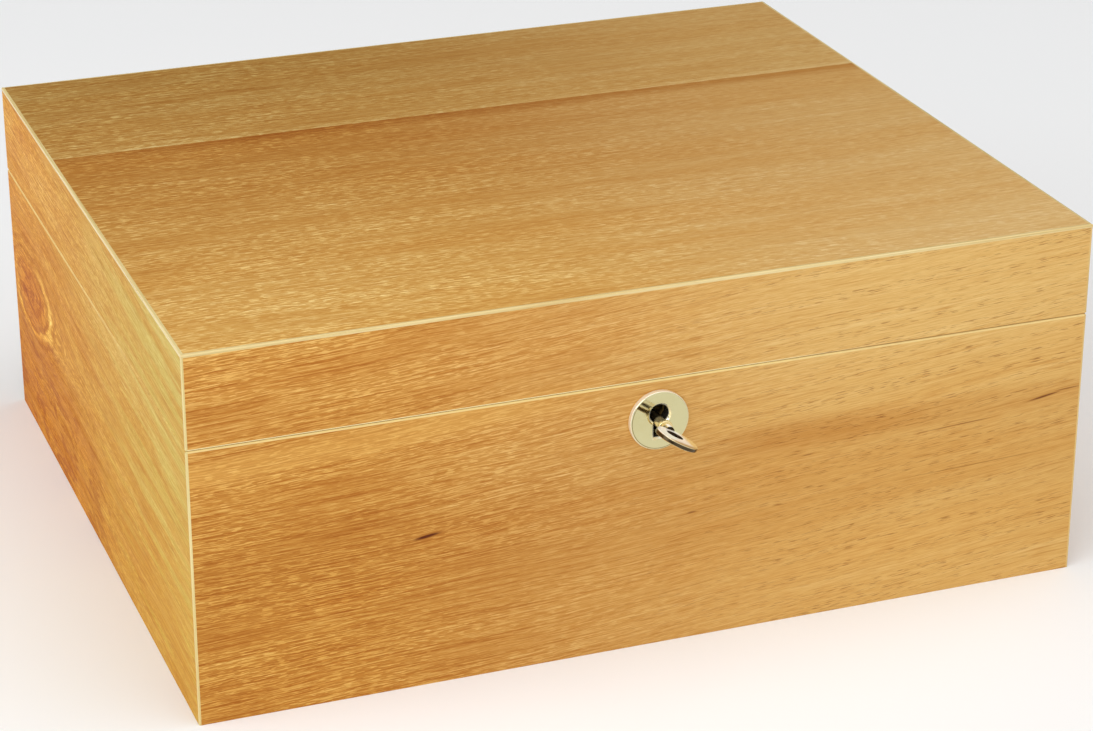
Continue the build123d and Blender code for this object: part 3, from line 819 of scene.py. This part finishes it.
green_felt = felt_cloth("green_felt", srgb(42, 74, 54), srgb(20, 42, 30), 3.0)
green_baize = felt_cloth("green_baize", srgb(52, 84, 58), srgb(26, 50, 34), 8.0)
felt_panel("floor_lining_felt", "floor_felt", "base", green_felt, 1.0)
felt_panel("lid_lining_felt", "lid_felt", "lid", green_felt, 2.0,
           faces_up=False)
felt_panel("underside_baize", "base_baize", "base", green_baize, 3.0,
           faces_up=False)


# ---------------------------------------------------------------- floor, light and camera
# The floor's width in metres, and how far it lies under the box.
FLOOR_SIZE = 12
FLOOR_DROP = 0.05 * mm

# The white studio's light, and its dark sides: direction, where the dark starts and where it is
# full (as the cosine of the angle to that direction), and the share of light left there.
STUDIO_LIGHT = 0.9
DARK_SIDES = (((0.15, 0.9, 0.3), 0.25, 0.9, 0.13), ((-0.78, -0.6, 0.1), 0.92, 0.975, 0.08))

# Soft boxes aimed at the middle of the box: place, size in metres and power in watts.
SOFT_BOXES = {
    "key_light": ((-1.2, -1.1, 1.1), (1.2, 1.0), 9),
    "side_light": ((-1.5, -0.2, 0.6), (1.0, 0.8), 3.5),
    "top_light": ((0.1, -0.2, 1.6), (1.3, 1.0), 5),
}

# The photo's view: place, direction, and lens and sensor width in millimetres.
CAMERA_PLACE = Vector((-0.3406, -0.9410, 0.4840))
CAMERA_LOOK = Vector((0.32069, 0.85736, -0.40260))
CAMERA_LENS = 102.76
CAMERA_SENSOR = 36


def studio_floor():
    """A plain pale floor."""
    bpy.ops.mesh.primitive_plane_add(size=FLOOR_SIZE, location=(0, 0, -FLOOR_DROP))
    floor = bpy.context.object
    floor.name = "studio_floor"
    g = MaterialGraph("studio_paper")
    cloud = g.flat_noise(g.axes["X"], g.axes["Y"], 0.002, 0.002, 0.0, detail=3)
    paper = g.mix(cloud, (0.92, 0.925, 0.93), (0.95, 0.955, 0.96))
    floor.data.materials.append(g.finish(Base_Color=paper, Roughness=0.9))


def pointed(direction):
    """The rotation that points a light or a camera along a direction."""
    return direction.to_track_quat("-Z", "Y").to_euler()


def soft_box(name, place, aim, size, power):
    """A rectangular light aimed at a point."""
    light = bpy.data.lights.new(name, "AREA")
    light.shape = "RECTANGLE"
    light.size, light.size_y = size
    light.energy = power
    lamp = bpy.data.objects.new(name, light)
    bpy.context.scene.collection.objects.link(lamp)
    lamp.location = place
    lamp.rotation_euler = pointed(Vector(aim) - Vector(place))


def set_world():
    """A white studio with dark sides, which give the metal and the polish something to reflect."""
    world = bpy.data.worlds.new("studio")
    bpy.context.scene.world = world
    world.use_nodes = True
    g = Graph(world.node_tree)
    background = g.tree.nodes["Background"]
    background.inputs["Color"].default_value = (1, 1, 1, 1)
    view = g.node("ShaderNodeTexCoord").outputs["Generated"]
    level = STUDIO_LIGHT
    for direction, start, full, left in DARK_SIDES:
        towards = g.dot(view, Vector(direction).normalized())
        level = g.mul(g.step(towards, start, full, 1.0, left), level)
    g.feed(background.inputs["Strength"], level)


def set_camera():
    """Above and to the left of the front, at about one metre."""
    data = bpy.data.cameras.new("camera")
    data.sensor_width = CAMERA_SENSOR
    data.lens = CAMERA_LENS
    data.clip_start = 0.01
    camera = bpy.data.objects.new("camera", data)
    bpy.context.scene.collection.objects.link(camera)
    camera.location = CAMERA_PLACE
    camera.rotation_euler = pointed(CAMERA_LOOK)
    bpy.context.scene.camera = camera


studio_floor()
set_world()
for name, (place, size, power) in SOFT_BOXES.items():
    soft_box(name, place, (0, 0, case_high.z / 2), size, power)
set_camera()
bpy.context.scene.view_settings.view_transform = "Standard"
